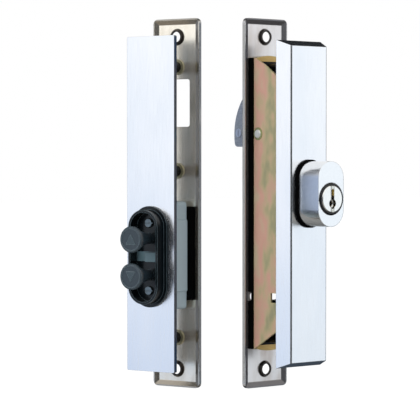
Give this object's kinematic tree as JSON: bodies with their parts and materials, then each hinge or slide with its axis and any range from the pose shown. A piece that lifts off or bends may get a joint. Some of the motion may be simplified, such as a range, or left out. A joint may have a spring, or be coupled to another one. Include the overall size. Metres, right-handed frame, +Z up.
{
  "type": "sliding door lock set",
  "caption": "Sliding door lock set: a keyed outer unit with a hook that swings out of its tray, and an inner unit with a strike window and push buttons on a rocker.",
  "frame": {"origin": "centre of the outer unit's tray, on the back face that meets the other door leaf", "axes": "+Z up along the tray, +Y out of the tray's back the way the hook points, -Y the outdoor face with the key, +X to the right seen from outdoors"},
  "size_m": [0.101, 0.1047, 0.2106],
  "materials": {
    "tray_steel": "brushed stainless steel, nearly bright",
    "rubber": "black sheet rubber",
    "passivated_steel": "yellow zinc passivation with pink and green tints",
    "dark_steel": "dark zinc",
    "cover_steel": "fine satin, pale",
    "satin_chrome": "satin chrome",
    "plug_steel": "bright turned steel",
    "hook_steel": "ground grey steel",
    "brass": "turned brass",
    "grey_plastic": "grey moulding, matt",
    "black_plastic": "black moulding, glossy",
    "button_plastic": "dark slate moulding, satin gloss"
  },
  "bodies": {
    "lock_set": {"outer_tray": "tray_steel", "outer_packing": "rubber", "lock_case": "passivated_steel", "outer_posts": "dark_steel", "outer_post_screws": "dark_steel", "backplate": "cover_steel", "outer_cover": "cover_steel", "cylinder_gasket": "rubber", "cylinder_housing": "satin_chrome", "cylinder_screws": "dark_steel", "plug_collar": "black_plastic", "driver_pins": "plug_steel", "pin_springs": "plug_steel", "pin_cap": "brass", "guide_pins": "dark_steel", "hook_pivot": "passivated_steel", "hook_spacers": "plug_steel", "inner_tray": "tray_steel", "inner_packing": "rubber", "button_case": "grey_plastic", "inner_posts": "dark_steel", "inner_post_screws": "dark_steel", "inner_cover": "cover_steel", "escutcheon": "black_plastic", "escutcheon_screws": "plug_steel", "rocker_pin": "dark_steel"},
    "plug": {"key_plug": "plug_steel", "key_pins": "brass", "plug_clip": "dark_steel", "tail_cam": "plug_steel", "cam_screw": "dark_steel"},
    "slide": {"slide_bar": "plug_steel"},
    "hook": {"hook": "hook_steel", "hook_drive_pin": "dark_steel", "hook_insert": "plug_steel"},
    "open_button": {"open_button": "button_plastic", "open_clip": "dark_steel"},
    "close_button": {"close_button": "button_plastic", "close_clip": "dark_steel"},
    "rocker": {"rocker": "plug_steel"}
  },
  "joints": [
    {"name": "key_turn", "type": "hinge", "parent": "lock_set", "child": "plug", "pos_m": [0, -0.05, 0.0033], "axis": [0, 1, 0], "range_deg": [0, 90]},
    {"name": "slide_travel", "type": "slide", "parent": "lock_set", "child": "slide", "axis": [0, 0, -1], "range_m": [0, 0.0092]},
    {"name": "hook_swing", "type": "hinge", "parent": "lock_set", "child": "hook", "pos_m": [0, -0.008, 0.0396], "axis": [1, 0, 0], "range_deg": [0, 90]},
    {"name": "open_press", "type": "slide", "parent": "lock_set", "child": "open_button", "axis": [0.9563, 0.2924, 0], "range_m": [-0.003, 0.003]},
    {"name": "close_press", "type": "slide", "parent": "lock_set", "child": "close_button", "axis": [0.9563, 0.2924, 0], "range_m": [-0.003, 0.003]},
    {"name": "rocker_tilt", "type": "hinge", "parent": "lock_set", "child": "rocker", "pos_m": [-0.05041, 0.02752, -0.0296], "axis": [0.2924, -0.9563, 0], "range_deg": [-15.8, 15.8]}
  ],
  "couplings": [
    {"joint": "key_turn", "follows": "slide_travel", "rad_per_m": 170.74},
    {"joint": "hook_swing", "follows": "slide_travel", "rad_per_m": 170.74},
    {"joint": "close_press", "follows": "open_press", "ratio": -1},
    {"joint": "rocker_tilt", "follows": "open_press", "rad_per_m": -91.667}
  ]
}
